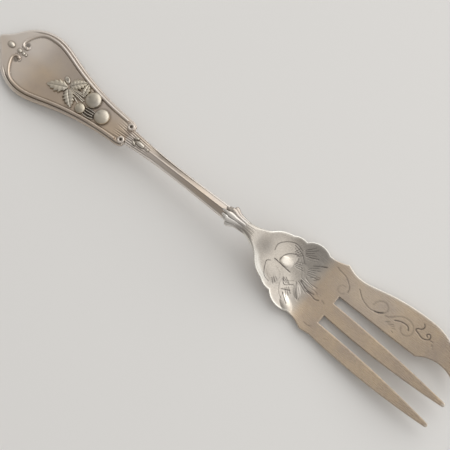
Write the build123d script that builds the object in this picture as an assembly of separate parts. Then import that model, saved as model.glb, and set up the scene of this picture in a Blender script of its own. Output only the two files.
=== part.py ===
"""Pastry fork: a three-tined head and a ridged handle, lap jointed under a collar, with soldered ornament."""

import os
from math import cos, radians, sin

from build123d import *

# Handle, in its own frame: x from the tip to the tines, back face at z = 0
HANDLE_RISE = 6.0  # degrees between the back of the handle and the table
PLATE_THICK = 1.6
FIELD_DEPTH = 0.3  # how far the field is sunk below the border
TIP_TURN = (1.5, 1.8)  # half outline of the end plate, as x and half width
SLANT = (5.4, 6.15)
WIDEST = (12.8, 9.42)
TAPER = (22.5, 7.5)
WAIST = (30.6, 5.4)
SHOULDER = (43.6, 3.85)
EAR_LENGTH = 2.4  # rounded ear beyond the shoulder
EAR_DROP = 0.7
EAR_DIRECTION = (0.3, -1)  # of the outline where the ear ends

# Stem stations: x, half width, height of the sides, height of the ridge
STEM_STATIONS = (
    (44.0, 2.4, 1.5, 1.6),
    (50.0, 1.95, 1.45, 1.7),
    (56.0, 1.65, 1.3, 2.1),
    (70.0, 1.6, 1.4, 2.5),
)
STEM_END_HALF_WIDTH = 1.75
STEM_END_SIDE = 1.5
STEM_END_RIDGE = 2.75

# Lap joint and collar
COLLAR_START = 79.2
COLLAR_LENGTH = 6.0
TONGUE_WIDTH = 2.0
TONGUE_BOTTOM = 0.6
TONGUE_TOP = 2.2
SOLDER_GAP = 0.05
COLLAR_MIDDLE = 1.45  # height of the collar's centre line
COLLAR_LOBES = 10
LOBE_BULGE = 1.12
# Collar stations: share of its length, half width, half height
COLLAR_STATIONS = (
    (0.0, 2.0, 1.6),
    (0.28, 2.65, 1.75),
    (0.5, 2.15, 1.65),
    (0.75, 1.8, 1.55),
    (1.0, 1.65, 1.5),
)

# Border rails
BORDER_WIDE = 1.75  # rail's distance from the edge near the tip
BORDER_NARROW = 0.95  # and at the shoulder
BORDER_POINTS = 13  # along a rail and a side of the sunk field
BAND_POINTS = 48  # along each side of a rail
RAIL_WIDTH = 0.75
RAIL_CREST = 0.35
RAIL_HEIGHT = 0.45
RAIL_SHARES = (0.27, 1.0)  # front and back end, as shares of the edge's length
RAIL_SWING = (8.3, 5.65)  # where the rail swings in towards its volute
FIELD_SHARES = (0.3, 0.94)
FIELD_NOSE = 10.0  # front of the sunk field on the long axis
FIELD_MARGIN = 0.15  # between a rail and the sunk field
VOLUTE_CENTRE = (8.1, 2.5)
VOLUTE_RADIUS = 1.3
VOLUTE_PITCH = 0.7  # closing of the volute in one turn
VOLUTE_FROM, VOLUTE_TO, VOLUTE_STEP = 150, 330, 30  # degrees

# Rings and beads
RING_AT = (45.15, 2.15)
RING_RADIUS = 0.7
RING_WIRE = 0.3
TIP_BEAD_AT, TIP_BEAD_LENGTH, TIP_BEAD_WIDTH = 4.45, 2.1, 1.5
CREST_BEADS = {"front": (7.4, 0.6), "middle": (8.75, 0.45), "back": (9.6, 0.3)}  # x, radius
BEAD_HEIGHT = 0.8  # of its radius

# Fruit: x, y, radius, height
CHERRY_LEFT = (32.4, 1.65, 2.3, 1.5)
CHERRY_MIDDLE = (37.1, -0.45, 2.2, 1.5)
CHERRY_SMALL = (30.9, -2.2, 1.55, 1.15)

# Leaves: x and y of the root, direction in degrees, length, width
LEAF_TIP = (24.6, 0.2, 206, 6.1, 3.4)
LEAF_LEFT = (24.8, 0.6, 52, 5.2, 3.2)
LEAF_RIGHT = (24.8, -0.1, -45, 5.4, 3.1)
LEAF_SIDE = (29.6, 0.8, 107, 3.8, 2.1)
LEAF_TEETH = 5
LEAF_TOOTH = 0.22
LEAF_TOOTH_PEAK = 0.75  # where a tooth is widest, as a share of its length
LEAF_FULLNESS = 0.75  # under 1, the leaf is widest nearer its root
LEAF_RIB = 0.85
LEAF_EDGE = 0.35
BUD_AT, BUD_TURN, BUD_LENGTH, BUD_WIDTH = (23.1, 1.7), 150, 2.3, 1.4

# Stalks: start, a point on the way, end
STALK_LEFT = ((25.2, 0.5), (27.6, 0.85), (30.2, 1.0))
STALK_MIDDLE = ((25.2, 0.1), (28.0, 0.05), (30.8, -0.3))
STALK_SMALL = ((25.2, -0.3), (27.4, -0.8), (29.5, -1.65))
STALK_RADIUS = 0.24
STRANDS = (
    ((31.9, -1.05), (33.6, -0.8), (35.1, -0.75)),
    ((32.25, -1.6), (33.6, -1.5), (35.0, -1.3)),
    ((32.3, -2.25), (33.7, -2.2), (35.1, -1.85)),
    ((32.1, -2.9), (33.9, -2.95), (35.6, -2.4)),
)
STRAND_RADIUS = 0.18

# Husk on the root of the stem
HUSK_AT, HUSK_LENGTH, HUSK_WIDTH = 50.1, 2.9, 1.2
LOBE_AT, LOBE_TURN, LOBE_LENGTH, LOBE_WIDTH = (48.4, 0.68), 28, 1.6, 0.7
DROP_AT, DROP_RADIUS = 52.6, 0.4
HUSK_LIFT = 0.15  # of the lobes' and the drop's middles above the stem

# Head, in the table's frame: half outline of the neck and the scallops, as x and half width
NECK_OUTLINE = ((82.0, 1.7), (85.5, 1.7), (88.2, 2.45), (90.6, 3.95))
NECK_DIRECTION = (0.7, 0.7)  # of the outline where the neck meets the scallops
SCALLOPS = (
    ((93.3, 6.2), (95.2, 6.9)),
    ((96.9, 7.75), (98.7, 7.85)),
    ((101.9, 9.68), (105.4, 9.1)),
    ((108.0, 9.35), (110.6, 10.4)),
)
TINE_START = 114.0
TINE_LENGTH = 37.0  # of the cutting tine and the centre tine
SLOT_BASE = 113.6
# Cutting tine: points of its outline as the distance back from the tip and y
CUT_TIP = 1.35
CUT_TIP_INSIDE = (0.6, 1.75)
CUT_NOTCH = (7.2, 4.45)
CUT_NOTCH_START = 13.3
CUT_INSIDE = 2.3
CUT_BACK = (8.8, 10.8)
CUT_CREST = (15.3, 12.08)
CUT_SWELL = (28.8, 10.6)
CUT_ROOT = 9.4
CUT_DIRECTION = (1, -0.4)  # of the outline where the cutting edge leaves the scallops
# Slender tines: y of the two roots, a point on each edge as above, y of the tip
CENTRE_TINE = ((0.08, -3.92), ((15.0, -1.05), (17.0, -4.4)), -2.95)
OUTER_TINE = ((-6.25, -10.0), ((16.7, -7.3), (16.7, -10.85)), -9.6)
OUTER_SHORT = 0.3  # how far the outer tine's tip lies behind the others
TIP_BLUNT = 0.55  # half width of a tine at its tip

# Head sheet stations: x, half width, height of the top at the middle, dish, thickness
SHEET = 1.35
HEAD_HALF_WIDTH = 13.5
HEAD_STATIONS = (
    (83.0, 2.6, 11.2, -0.7, 2.5),
    (86.5, 3.0, 11.2, -0.6, 2.4),
    (90.0, 5.0, 8.9, 0.1, 2.0),
    (94.0, 8.0, 5.3, 1.1, 1.6),
    (98.0, 9.5, 2.9, 1.9, SHEET),
    (103.0, 11.0, SHEET, 1.9, SHEET),
    (108.0, 12.0, 1.55, 0.8, SHEET),
    (TINE_START, HEAD_HALF_WIDTH, 2.1, 0.02, SHEET),
)
TINE_RISE = 3.4  # how much higher the tips lie than the roots of the tines
TIP_SHEET = 1.1

OVERLAP = 1.0  # how far joined and cutting bodies run into what they meet
BEYOND = 20.0  # reach of cutting bodies past the fork
FIELD_LEVEL = PLATE_THICK - FIELD_DEPTH
LAP_LEVEL = (TONGUE_BOTTOM + TONGUE_TOP) / 2
COLLAR_END = COLLAR_START + COLLAR_LENGTH
TINE_END = TINE_START + TINE_LENGTH
HEAD_END = TINE_END + OVERLAP
HANDLE_PLACE = Location((0, 0, 0), (0, -HANDLE_RISE, 0))


def flipped(points):
    """The same points on the other side of the long axis, in the opposite order."""
    return [(x, -y) for x, y in reversed(points)]


def terminal_edge():
    """Half outline of the end plate, from the tip to the shoulder."""
    points = [(0, 0), TIP_TURN, SLANT, WIDEST, TAPER, WAIST, SHOULDER]
    return Spline(*points, tangents=[(0, 1), (1, 0)])


def inset_points(first, last, extra):
    """Points beside the end plate's edge, spaced evenly between two shares of its length."""
    edge = terminal_edge()
    points = []
    for step in range(BORDER_POINTS):
        share = first + (last - first) * step / (BORDER_POINTS - 1)
        place = edge.position_at(share)
        way = edge.tangent_at(share)
        inset = BORDER_WIDE + (BORDER_NARROW - BORDER_WIDE) * share + extra
        points.append((place.X + way.Y * inset, place.Y - way.X * inset))
    return points


def block(x_from, x_to, width, bottom, top):
    """A box across the long axis between two heights."""
    standing = (Align.CENTER, Align.CENTER, Align.MIN)
    return Pos((x_from + x_to) / 2, 0, bottom) * Box(x_to - x_from, width, top - bottom, align=standing)


def end_plate():
    """Leaf-shaped plate with a sunk field."""
    edge = terminal_edge()
    ear_end = (SHOULDER[0] + EAR_LENGTH, SHOULDER[1] - EAR_DROP)
    ear = Spline(SHOULDER, ear_end, tangents=[(1, 0), EAR_DIRECTION])
    half = [edge, ear]
    other = [mirror(piece, about=Plane.XZ) for piece in half]
    across = Line(ear_end, (ear_end[0], -ear_end[1]))
    plate = extrude(make_face(half + [across] + other), PLATE_THICK)

    inside = RAIL_WIDTH / 2 + FIELD_MARGIN
    side = inset_points(*FIELD_SHARES, inside)
    front = (side[0][0], -side[0][1])
    border = [
        Spline(*side),
        Line(side[-1], (side[-1][0], -side[-1][1])),
        Spline(*flipped(side)),
        ThreePointArc(front, (FIELD_NOSE, 0), side[0]),
    ]
    field = extrude(make_face(border), FIELD_DEPTH)
    return plate - Pos(0, 0, FIELD_LEVEL) * field


def stem_section(x, half_width, side, ridge):
    """Roof-shaped cross section of the stem."""
    corners = [(-half_width, 0), (half_width, 0), (half_width, side), (0, ridge), (-half_width, side)]
    plane = Plane(origin=(x, 0, 0), x_dir=(0, 1, 0), z_dir=(1, 0, 0))
    return plane * make_face(Polyline(*corners, close=True))


def handle_blank():
    """End plate, ridged stem and the lower lap tongue."""
    stations = list(STEM_STATIONS)
    stations.append((COLLAR_START, STEM_END_HALF_WIDTH, STEM_END_SIDE, STEM_END_RIDGE))
    stem = loft([stem_section(*station) for station in stations])
    lap = (TONGUE_BOTTOM, LAP_LEVEL - SOLDER_GAP / 2)
    tongue = block(COLLAR_START - OVERLAP, COLLAR_END - SOLDER_GAP, TONGUE_WIDTH, *lap)
    return end_plate() + stem + tongue


def collar_section(share, half_width, half_height):
    """Lobed cross section of the collar."""
    corners = []
    tops = []
    for lobe in range(COLLAR_LOBES):
        for turn, reach, store in ((lobe, 1, corners), (lobe + 0.5, LOBE_BULGE, tops)):
            angle = radians(turn * 360 / COLLAR_LOBES)
            store.append((half_width * reach * cos(angle), COLLAR_MIDDLE + half_height * reach * sin(angle)))
    arcs = [ThreePointArc(corners[i - 1], tops[i - 1], corners[i]) for i in range(1, COLLAR_LOBES)]
    arcs.append(ThreePointArc(corners[-1], tops[-1], corners[0]))
    x = COLLAR_START + SOLDER_GAP + share * (COLLAR_LENGTH - 2 * SOLDER_GAP)
    plane = Plane(origin=(x, 0, 0), x_dir=(0, 1, 0), z_dir=(1, 0, 0))
    return plane * make_face(arcs)


def calyx_collar():
    """Fluted collar with a square bore for the lap joint."""
    body = loft([collar_section(*station) for station in COLLAR_STATIONS])
    bore = block(
        COLLAR_START - OVERLAP,
        COLLAR_END + OVERLAP,
        TONGUE_WIDTH + 2 * SOLDER_GAP,
        TONGUE_BOTTOM - SOLDER_GAP,
        TONGUE_TOP + SOLDER_GAP,
    )
    return body - bore


def tine_edges(roots, edges, tip, end):
    """A slender tine from its left root round the tip to its right root."""
    left, right = [(SLOT_BASE, root) for root in roots]
    middle_left, middle_right = [(end - back, y) for back, y in edges]
    tip_left, tip_right = [(end - TIP_BLUNT, tip + side * TIP_BLUNT) for side in (1, -1)]
    return left, right, [
        ThreePointArc(left, middle_left, tip_left),
        ThreePointArc(tip_left, (end, tip), tip_right),
        ThreePointArc(tip_right, middle_right, right),
    ]


def cutting_edges(shoulder):
    """Outline of the cutting tine from the scallops round its beak to its slot."""
    swell, crest, back, notch, tip_inside = [
        (TINE_END - back, y) for back, y in (CUT_SWELL, CUT_CREST, CUT_BACK, CUT_NOTCH, CUT_TIP_INSIDE)
    ]
    tip = (TINE_END, CUT_TIP)
    notch_start = (TINE_END - CUT_NOTCH_START, CUT_INSIDE)
    root_inside = (SLOT_BASE, CUT_INSIDE)
    return root_inside, [
        Spline(shoulder, (TINE_START, CUT_ROOT), swell, crest, tangents=[CUT_DIRECTION, (1, 0)]),
        ThreePointArc(crest, back, tip),
        Line(tip, tip_inside),
        ThreePointArc(tip_inside, notch, notch_start),
        Line(notch_start, root_inside),
    ]


def head_outline():
    """Plan outline of the head."""
    sides = []
    for sign in (1, -1):
        neck = [(x, sign * y) for x, y in NECK_OUTLINE]
        sides.append(Spline(*neck, tangents=[(1, 0), (NECK_DIRECTION[0], sign * NECK_DIRECTION[1])]))
        start = neck[-1]
        for middle, end in SCALLOPS:
            sides.append(ThreePointArc(start, (middle[0], sign * middle[1]), (end[0], sign * end[1])))
            start = (end[0], sign * end[1])
    shoulder = SCALLOPS[-1][1]
    neck_start = NECK_OUTLINE[0]
    cut_inside, cutting = cutting_edges(shoulder)
    centre_left, centre_right, centre = tine_edges(*CENTRE_TINE, TINE_END)
    outer_left, outer_right, outer = tine_edges(*OUTER_TINE, TINE_END - OUTER_SHORT)
    joins = [
        Line(cut_inside, centre_left),
        Line(centre_right, outer_left),
        Line(outer_right, (shoulder[0], -shoulder[1])),
        Line(neck_start, (neck_start[0], -neck_start[1])),
    ]
    return make_face(sides + cutting + centre + outer + joins)


def sheet_section(x, half_width, top, dish, thickness):
    """Cross section of the curved sheet."""
    rim = top + dish
    plane = Plane(origin=(x, 0, 0), x_dir=(0, 1, 0), z_dir=(1, 0, 0))
    edges = [
        ThreePointArc((-half_width, rim), (0, top), (half_width, rim)),
        Line((half_width, rim), (half_width, rim - thickness)),
        ThreePointArc((half_width, rim - thickness), (0, top - thickness), (-half_width, rim - thickness)),
        Line((-half_width, rim - thickness), (-half_width, rim)),
    ]
    return plane * make_face(edges)


def fork_head():
    """Bowl and tines from one curved sheet, with the upper lap tongue."""
    root = HEAD_STATIONS[-1]
    end = (HEAD_END, HEAD_HALF_WIDTH, root[2] + TINE_RISE, root[3], TIP_SHEET)
    bowl = loft([sheet_section(*station) for station in HEAD_STATIONS])
    tines = loft([sheet_section(*root), sheet_section(*end)])
    sheet = bowl + tines
    head = sheet & extrude(head_outline(), BEYOND)
    behind = HANDLE_PLACE * block(0, COLLAR_END, 2 * BEYOND, -BEYOND, BEYOND)
    lap = (LAP_LEVEL + SOLDER_GAP / 2, TONGUE_TOP)
    tongue = block(COLLAR_START + SOLDER_GAP, COLLAR_END + OVERLAP, TONGUE_WIDTH, *lap)
    return head - behind + HANDLE_PLACE * tongue


def band(path, width, level):
    """Flat strip of even width along a path."""
    left, right = [], []
    for step in range(BAND_POINTS):
        place = path.position_at(step / (BAND_POINTS - 1))
        way = path.tangent_at(step / (BAND_POINTS - 1))
        side = Vector(-way.Y, way.X) * width / 2
        left.append(place + side)
        right.append(place - side)
    edges = [
        Spline(*left),
        Line(left[-1], right[-1]),
        Spline(*reversed(right)),
        Line(right[0], left[0]),
    ]
    return Pos(0, 0, level) * make_face(edges)


def border_rail():
    """Wire along the left border, with a volute at the tip end."""
    points = inset_points(RAIL_SHARES[1], RAIL_SHARES[0], 0) + [RAIL_SWING]
    for turn in range(VOLUTE_FROM, VOLUTE_TO + 1, VOLUTE_STEP):
        radius = VOLUTE_RADIUS - VOLUTE_PITCH * (turn - VOLUTE_FROM) / 360
        angle = radians(turn)
        points.append((VOLUTE_CENTRE[0] + radius * cos(angle), VOLUTE_CENTRE[1] + radius * sin(angle)))
    path = Spline(*points)
    foot = band(path, RAIL_WIDTH, PLATE_THICK)
    crest = band(path, RAIL_CREST, PLATE_THICK + RAIL_HEIGHT)
    return loft([foot, crest], ruled=True)


def shoulder_ring():
    """Wire ring on the left shoulder."""
    wire = Torus(RING_RADIUS, RING_WIRE)
    return Pos(RING_AT[0], RING_AT[1], PLATE_THICK + RING_WIRE / 2) * wire


def dome(x, y, radius, height, level):
    """Cap of a ball with its flat face on a level."""
    ball = (radius**2 + height**2) / (2 * height)
    whole = Pos(x, y, height - ball) * Sphere(ball)
    above = Pos(x, y, 0) * block(-ball, ball, 2 * ball, 0, ball + height)
    return Pos(0, 0, level) * (whole & above)


def bead(x, y, turn, length, width, level):
    """Egg-shaped bead lying on its side."""
    return Pos(x, y, level) * Rot(0, 0, turn) * scale(Sphere(0.5), by=(length, width, width))


def leaf(x, y, turn, length, width):
    """Toothed leaf with a raised middle rib."""
    side = [(0, 0)]
    for tooth in range(LEAF_TEETH):
        for share, reach in ((tooth + LEAF_TOOTH_PEAK, LEAF_TOOTH), (tooth + 1, 0)):
            along = share / LEAF_TEETH
            if along < 1:
                bow = sin(radians(180 * along**LEAF_FULLNESS))
                side.append((length * along, width / 2 * bow + reach))
    outline = side + [(length, 0)] + flipped(side[1:])
    flat = extrude(make_face(Polyline(*outline, close=True)), LEAF_RIB)
    half = width / 2 + LEAF_TOOTH
    roof = [(-half, 0), (half, 0), (half, LEAF_EDGE), (0, LEAF_RIB), (-half, LEAF_EDGE)]
    plane = Plane(origin=(0, 0, 0), x_dir=(0, 1, 0), z_dir=(1, 0, 0))
    ridge = extrude(plane * make_face(Polyline(*roof, close=True)), length)
    return Pos(x, y, FIELD_LEVEL) * Rot(0, 0, turn) * (flat & ridge)


def stalk(start, middle, end, radius):
    """Bent wire lying on the field."""
    level = FIELD_LEVEL + radius / 2
    path = ThreePointArc((*start, level), (*middle, level), (*end, level))
    tangent = path.tangent_at(0)
    section = Plane(origin=path.position_at(0), z_dir=tangent) * Circle(radius)
    return sweep(section, path=path)


def seat(piece, under):
    """The largest solid of a piece after it is cut to sit on the pieces that it lies on."""
    box = piece.bounding_box()
    for other in under:
        if box.overlaps(other.bounding_box()):
            piece = piece - other
    return max(piece.solids(), key=lambda solid: solid.volume)


def ornaments(blank):
    """All soldered pieces of the handle, each cut to sit on what it lies on."""
    pieces = {}
    rail = border_rail()
    pieces["border_rail_left"] = rail
    pieces["border_rail_right"] = mirror(rail, about=Plane.XZ)
    ring = shoulder_ring()
    pieces["shoulder_ring_left"] = ring
    pieces["shoulder_ring_right"] = mirror(ring, about=Plane.XZ)
    pieces["tip_bead"] = bead(TIP_BEAD_AT, 0, 0, TIP_BEAD_LENGTH, TIP_BEAD_WIDTH, PLATE_THICK)
    for name, (x, radius) in CREST_BEADS.items():
        pieces[f"crest_bead_{name}"] = dome(x, 0, radius, radius * BEAD_HEIGHT, PLATE_THICK)
    for name, fruit in (("left", CHERRY_LEFT), ("middle", CHERRY_MIDDLE), ("small", CHERRY_SMALL)):
        pieces[f"cherry_{name}"] = dome(*fruit, FIELD_LEVEL)
    for name, size in (("tip", LEAF_TIP), ("left", LEAF_LEFT), ("right", LEAF_RIGHT), ("side", LEAF_SIDE)):
        pieces[f"leaf_{name}"] = leaf(*size)
    pieces["leaf_bud"] = bead(*BUD_AT, BUD_TURN, BUD_LENGTH, BUD_WIDTH, FIELD_LEVEL)
    for name, bend in (("left", STALK_LEFT), ("middle", STALK_MIDDLE), ("small", STALK_SMALL)):
        pieces[f"stalk_{name}"] = stalk(*bend, STALK_RADIUS)
    pieces["husk_body"] = bead(HUSK_AT, 0, 0, HUSK_LENGTH, HUSK_WIDTH, STEM_STATIONS[1][3])
    pieces["husk_drop"] = Pos(DROP_AT, 0, STEM_STATIONS[1][3] + HUSK_LIFT) * Sphere(DROP_RADIUS)

    seated = {}
    under = [blank]
    for name, piece in pieces.items():
        seated[name] = seat(piece, under)
        under.append(seated[name])
    lobes = []
    for sign in (1, -1):
        lobe = (LOBE_AT[0], sign * LOBE_AT[1], sign * LOBE_TURN, LOBE_LENGTH, LOBE_WIDTH)
        lobes.append(bead(*lobe, PLATE_THICK + HUSK_LIFT))
    strands = [stalk(*strand, STRAND_RADIUS) for strand in STRANDS]
    groups = {"stalk_bundle": strands, "husk_lobes": lobes}
    for name, members in groups.items():
        cut = []
        for member in members:
            cut.append(seat(member, under))
            under.append(cut[-1])
        seated[name] = Compound(cut)
    return seated


def main():
    """Builds every piece and writes it with the origin under the middle of the fork."""
    blank = handle_blank()
    handle = {"handle_blank": blank, "calyx_collar": calyx_collar()}
    handle.update(ornaments(blank))
    pieces = {name: HANDLE_PLACE * piece for name, piece in handle.items()}
    pieces["fork_head"] = fork_head()
    box = Compound(list(pieces.values())).bounding_box()
    home = Pos(-box.center().X, -box.center().Y, -box.min.Z)
    os.makedirs("parts", exist_ok=True)
    for name, piece in pieces.items():
        export_step(home * piece, f"parts/{name}.step")


main()
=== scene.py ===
from math import cos, pi, radians, sin

import bpy
import numpy as np
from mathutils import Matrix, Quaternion, Vector


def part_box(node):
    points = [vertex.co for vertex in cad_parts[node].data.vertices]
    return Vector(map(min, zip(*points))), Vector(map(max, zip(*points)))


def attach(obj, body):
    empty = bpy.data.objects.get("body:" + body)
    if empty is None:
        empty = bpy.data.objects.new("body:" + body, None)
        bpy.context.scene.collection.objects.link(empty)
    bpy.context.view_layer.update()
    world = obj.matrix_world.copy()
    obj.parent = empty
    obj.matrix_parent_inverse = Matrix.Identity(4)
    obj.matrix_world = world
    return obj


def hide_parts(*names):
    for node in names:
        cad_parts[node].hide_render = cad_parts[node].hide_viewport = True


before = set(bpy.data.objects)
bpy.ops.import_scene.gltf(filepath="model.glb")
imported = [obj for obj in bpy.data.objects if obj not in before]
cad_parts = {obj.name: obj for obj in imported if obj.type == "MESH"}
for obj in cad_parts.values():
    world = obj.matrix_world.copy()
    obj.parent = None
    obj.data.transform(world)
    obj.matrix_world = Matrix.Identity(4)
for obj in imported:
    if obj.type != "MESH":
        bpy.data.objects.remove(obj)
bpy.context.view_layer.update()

# Shared sizes of the fork in millimetres: x from the handle's tip, y to the cutting tine, z up
HANDLE_RISE = radians(6.0)
PLATE = 1.6
FIELD = 1.3
EDGE_POINTS = ((0, 0), (1.5, 1.8), (5.4, 6.15), (12.8, 9.42), (22.5, 7.5), (30.6, 5.4), (43.6, 3.85))
EAR_END = (46.0, 3.15)
STEM_START = 46.15
STEM_END = 79.2
STEM_HALF = ((40, 2.7), (44, 2.4), (50, 1.95), (56, 1.65), (70, 1.6), (STEM_END, 1.75))
STEM_EAVES = ((44, 1.5), (50, 1.45), (56, 1.3), (70, 1.4), (STEM_END, 1.5))
STEM_RIDGE = ((44, 1.6), (50, 1.7), (56, 1.95), (62, 2.2), (70, 2.5), (STEM_END, 2.75))
REED_OFFSETS = (0.3, 0.85, 1.4, 1.95)
GROOVE_DEPTH, FOOT_DEPTH, LIP_DEPTH, REED_DEPTH, EAVES_DROP = 0.2, 0.1, 0.09, 0.12, 0.2
COLLAR_END = 85.2
BORDER_WIDE, BORDER_NARROW = 1.75, 0.95
RAIL_FRONT = 0.27  # share of the edge's length
RAIL_SWING = (8.3, 5.65)
RAIL_HALF, RAIL_HIGH, RAIL_SIDES = 0.42, 0.52, 14
VOLUTE_CENTRE, VOLUTE_RADIUS, VOLUTE_PITCH = (8.1, 2.5), 1.3, 0.7
RING_AT, RING_RADIUS, RING_WIRE = (45.15, 2.15), 0.7, 0.34
RING_INNER = 0.1  # how much thicker the wire is towards the hole

# Ornament of the handle
# Cherries: x, y, radius, height, side of the stalk in degrees, wear and painted highlight, darkening of the
# face's middle
CHERRIES = {
    "left": (32.4, 1.65, 2.25, 1.3, 200, 0.1, 0.22),
    "middle": (37.1, -0.45, 2.15, 1.3, 185, 0.15, 0.0),
    "small": (30.9, -2.2, 1.5, 1.0, 150, 0.0, 0.08),
}
# Leaves: x and y of the root, direction in degrees, length, width, bend, teeth, cup, crispness
LEAVES = {
    "tip": (24.6, 0.2, 206, 6.1, 3.5, 0.0, 5, 0.0, 0.5),
    "left": (24.8, 0.6, 52, 5.2, 3.3, -0.3, 6, -0.08, 0.8),
    "right": (24.8, -0.1, -45, 5.4, 3.2, 0.3, 6, 0.08, 0.9),
    "side": (29.6, 0.8, 107, 3.8, 2.2, 0.0, 4, 0.0, 1.0),
}
BUD = (23.1, 1.7, 150, 2.3, 1.4)
STALK_HALF, BUNDLE_HALF, STALK_SIDES = 0.17, 0.13, 12
# Painted shadow beds under the stalks: x, y, half length, half width, turn, darkness
STALK_SHADOW_BEDS = ((27.8, 0.2, 2.6, 1.2, 0, 0.7), (33.6, -1.8, 2.1, 1.3, 0, 1.0))
# Stalks: the lines of each group
STALKS = {
    "stalk_left": (((25.0, 0.6), (27.6, 1.0), (30.2, 1.25)), ((25.2, 0.4), (27.4, 0.65), (30.0, 0.8))),
    "stalk_middle": (((25.1, 0.15), (27.9, 0.2), (30.6, -0.05)), ((25.3, -0.1), (27.9, -0.2), (30.5, -0.5))),
    "stalk_small": (((25.2, -0.35), (27.4, -0.75), (29.6, -1.6)),),
    "stalk_bundle": (
        ((31.9, -1.05), (33.6, -0.8), (35.1, -0.75)),
        ((32.25, -1.6), (33.6, -1.5), (35.0, -1.3)),
        ((32.3, -2.25), (33.7, -2.2), (35.1, -1.85)),
        ((32.1, -2.9), (33.9, -2.95), (35.6, -2.4)),
    ),
}
# Beads: x, length, width, height, level
BEADS = {
    "tip_bead": (4.45, 2.1, 1.5, 0.7, PLATE),
    "crest_bead_front": (7.4, 1.3, 1.15, 0.46, PLATE),
    "crest_bead_middle": (8.75, 0.95, 0.9, 0.34, PLATE),
    "crest_bead_back": (9.6, 0.6, 0.6, 0.24, PLATE),
    "husk_body": (50.1, 2.9, 1.2, 0.6, 1.7),
    "husk_drop": (52.6, 0.8, 0.8, 0.5, 1.8),
}
LOBE_AT, LOBE_TURN, LOBE_LENGTH, LOBE_WIDTH, LOBE_HEIGHT, LOBE_LEVEL = (48.4, 0.68), 28, 1.6, 0.7, 0.4, 1.72

blank_low, blank_high = (Vector(corner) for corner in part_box("handle_blank"))
ORIGIN = np.array(
    [
        blank_low.x * 1000 + PLATE * sin(HANDLE_RISE),
        (blank_low.y + blank_high.y) * 500,
        0.0,
    ]
)


# Placing

def on_table(points):
    """Shared frame in metres from the fork's millimetres."""
    return (np.asarray(points, float) + ORIGIN) / 1000


def on_handle(points):
    """Shared frame in metres from the handle's own millimetres, with its back at z = 0."""
    p = np.asarray(points, float)
    x = p[:, 0] * cos(HANDLE_RISE) - p[:, 2] * sin(HANDLE_RISE)
    z = p[:, 0] * sin(HANDLE_RISE) + p[:, 2] * cos(HANDLE_RISE)
    return on_table(np.stack([x, p[:, 1], z], 1))


# Curves and steps

def smooth(points, count, start=None, end=None):
    """Points along a smooth curve through the given points."""
    p = np.asarray(points, float)
    t = np.concatenate([[0], np.cumsum(np.linalg.norm(np.diff(p, axis=0), axis=1))])
    h = np.diff(t)
    n = len(p)
    left = np.eye(n)
    right = np.zeros_like(p)
    for i in range(1, n - 1):
        left[i, i - 1 : i + 2] = h[i - 1], 2 * (h[i - 1] + h[i]), h[i]
        right[i] = 6 * ((p[i + 1] - p[i]) / h[i] - (p[i] - p[i - 1]) / h[i - 1])
    if start is not None:
        left[0, :2] = 2 * h[0], h[0]
        right[0] = 6 * ((p[1] - p[0]) / h[0] - np.asarray(start, float))
    if end is not None:
        left[-1, -2:] = h[-1], 2 * h[-1]
        right[-1] = 6 * (np.asarray(end, float) - (p[-1] - p[-2]) / h[-1])
    bend = np.linalg.solve(left, right)
    s = np.linspace(0, t[-1], count)
    k = np.clip(np.searchsorted(t, s, side="right") - 1, 0, n - 2)
    a = ((t[k + 1] - s) / h[k])[:, None]
    b = 1 - a
    lift = ((a**3 - a) * bend[k] + (b**3 - b) * bend[k + 1]) * (h[k] ** 2)[:, None] / 6
    return a * p[k] + b * p[k + 1] + lift


def profile(x, table):
    """A smooth height over x from a few stations."""
    line = smooth(table, 600)
    return np.interp(x, line[:, 0], line[:, 1])


def ease(low, high, x):
    """Smooth step from 0 to 1."""
    t = np.clip((x - low) / (high - low), 0, 1)
    return t * t * (3 - 2 * t)


def bump(x, width):
    """Bell of height 1."""
    return np.exp(-((x / width) ** 2))


def distance(x, y, line):
    """Distance of each point from a line of points."""
    shape = np.shape(x)
    q = np.stack([np.ravel(x), np.ravel(y)], 1)
    best = np.full(len(q), 1e9)
    for a, b in zip(line[:-1], line[1:]):
        way = b - a
        size = max(way @ way, 1e-12)
        t = np.clip(((q - a) @ way) / size, 0, 1)
        gap = q - a - t[:, None] * way
        best = np.minimum(best, np.einsum("ij,ij->i", gap, gap))
    return np.sqrt(best).reshape(shape)


def oval(x, y, cx, cy, rx, ry, turn):
    """Coordinates of points in a turned oval, whose rim is at 1."""
    c, s = cos(radians(turn)), sin(radians(turn))
    u = ((x - cx) * c + (y - cy) * s) / rx
    v = ((y - cy) * c - (x - cx) * s) / ry
    return u, v


def ripple(x, y, size, seed):
    """Gentle uneven surface between -1 and 1."""
    rng = np.random.default_rng(seed)
    total = np.zeros(np.shape(x))
    for _ in range(7):
        angle, phase, pace = rng.uniform(0, 2 * pi), rng.uniform(0, 2 * pi), rng.uniform(0.6, 1.6)
        total = total + np.sin((x * cos(angle) + y * sin(angle)) * 2 * pi * pace / size + phase)
    return total / 7


# Meshes

def solid(name, points, faces, slot, patina_and_shade=0.0, wear_and_highlight=0.0):
    """A piece of the fork, with marks of how dark it is from tarnish and painted shade and how bright it is
    from wear and painted highlights.
    """
    mesh = bpy.data.meshes.new(name)
    mesh.from_pydata(np.asarray(points).tolist(), [], faces)
    mesh.validate()
    # These marks hold painted shade and painted highlights together with tarnish and wear
    for key, amount in (("patina_and_shade", patina_and_shade), ("wear_and_highlight", wear_and_highlight)):
        mark = mesh.attributes.new(key, "FLOAT", "POINT")
        mark.data.foreach_set("value", np.clip(np.broadcast_to(amount, len(points)), 0, 1))
    mesh.shade_smooth()
    piece = bpy.data.objects.new(name, mesh)
    bpy.context.scene.collection.objects.link(piece)
    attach(piece, "root")
    return piece


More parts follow.
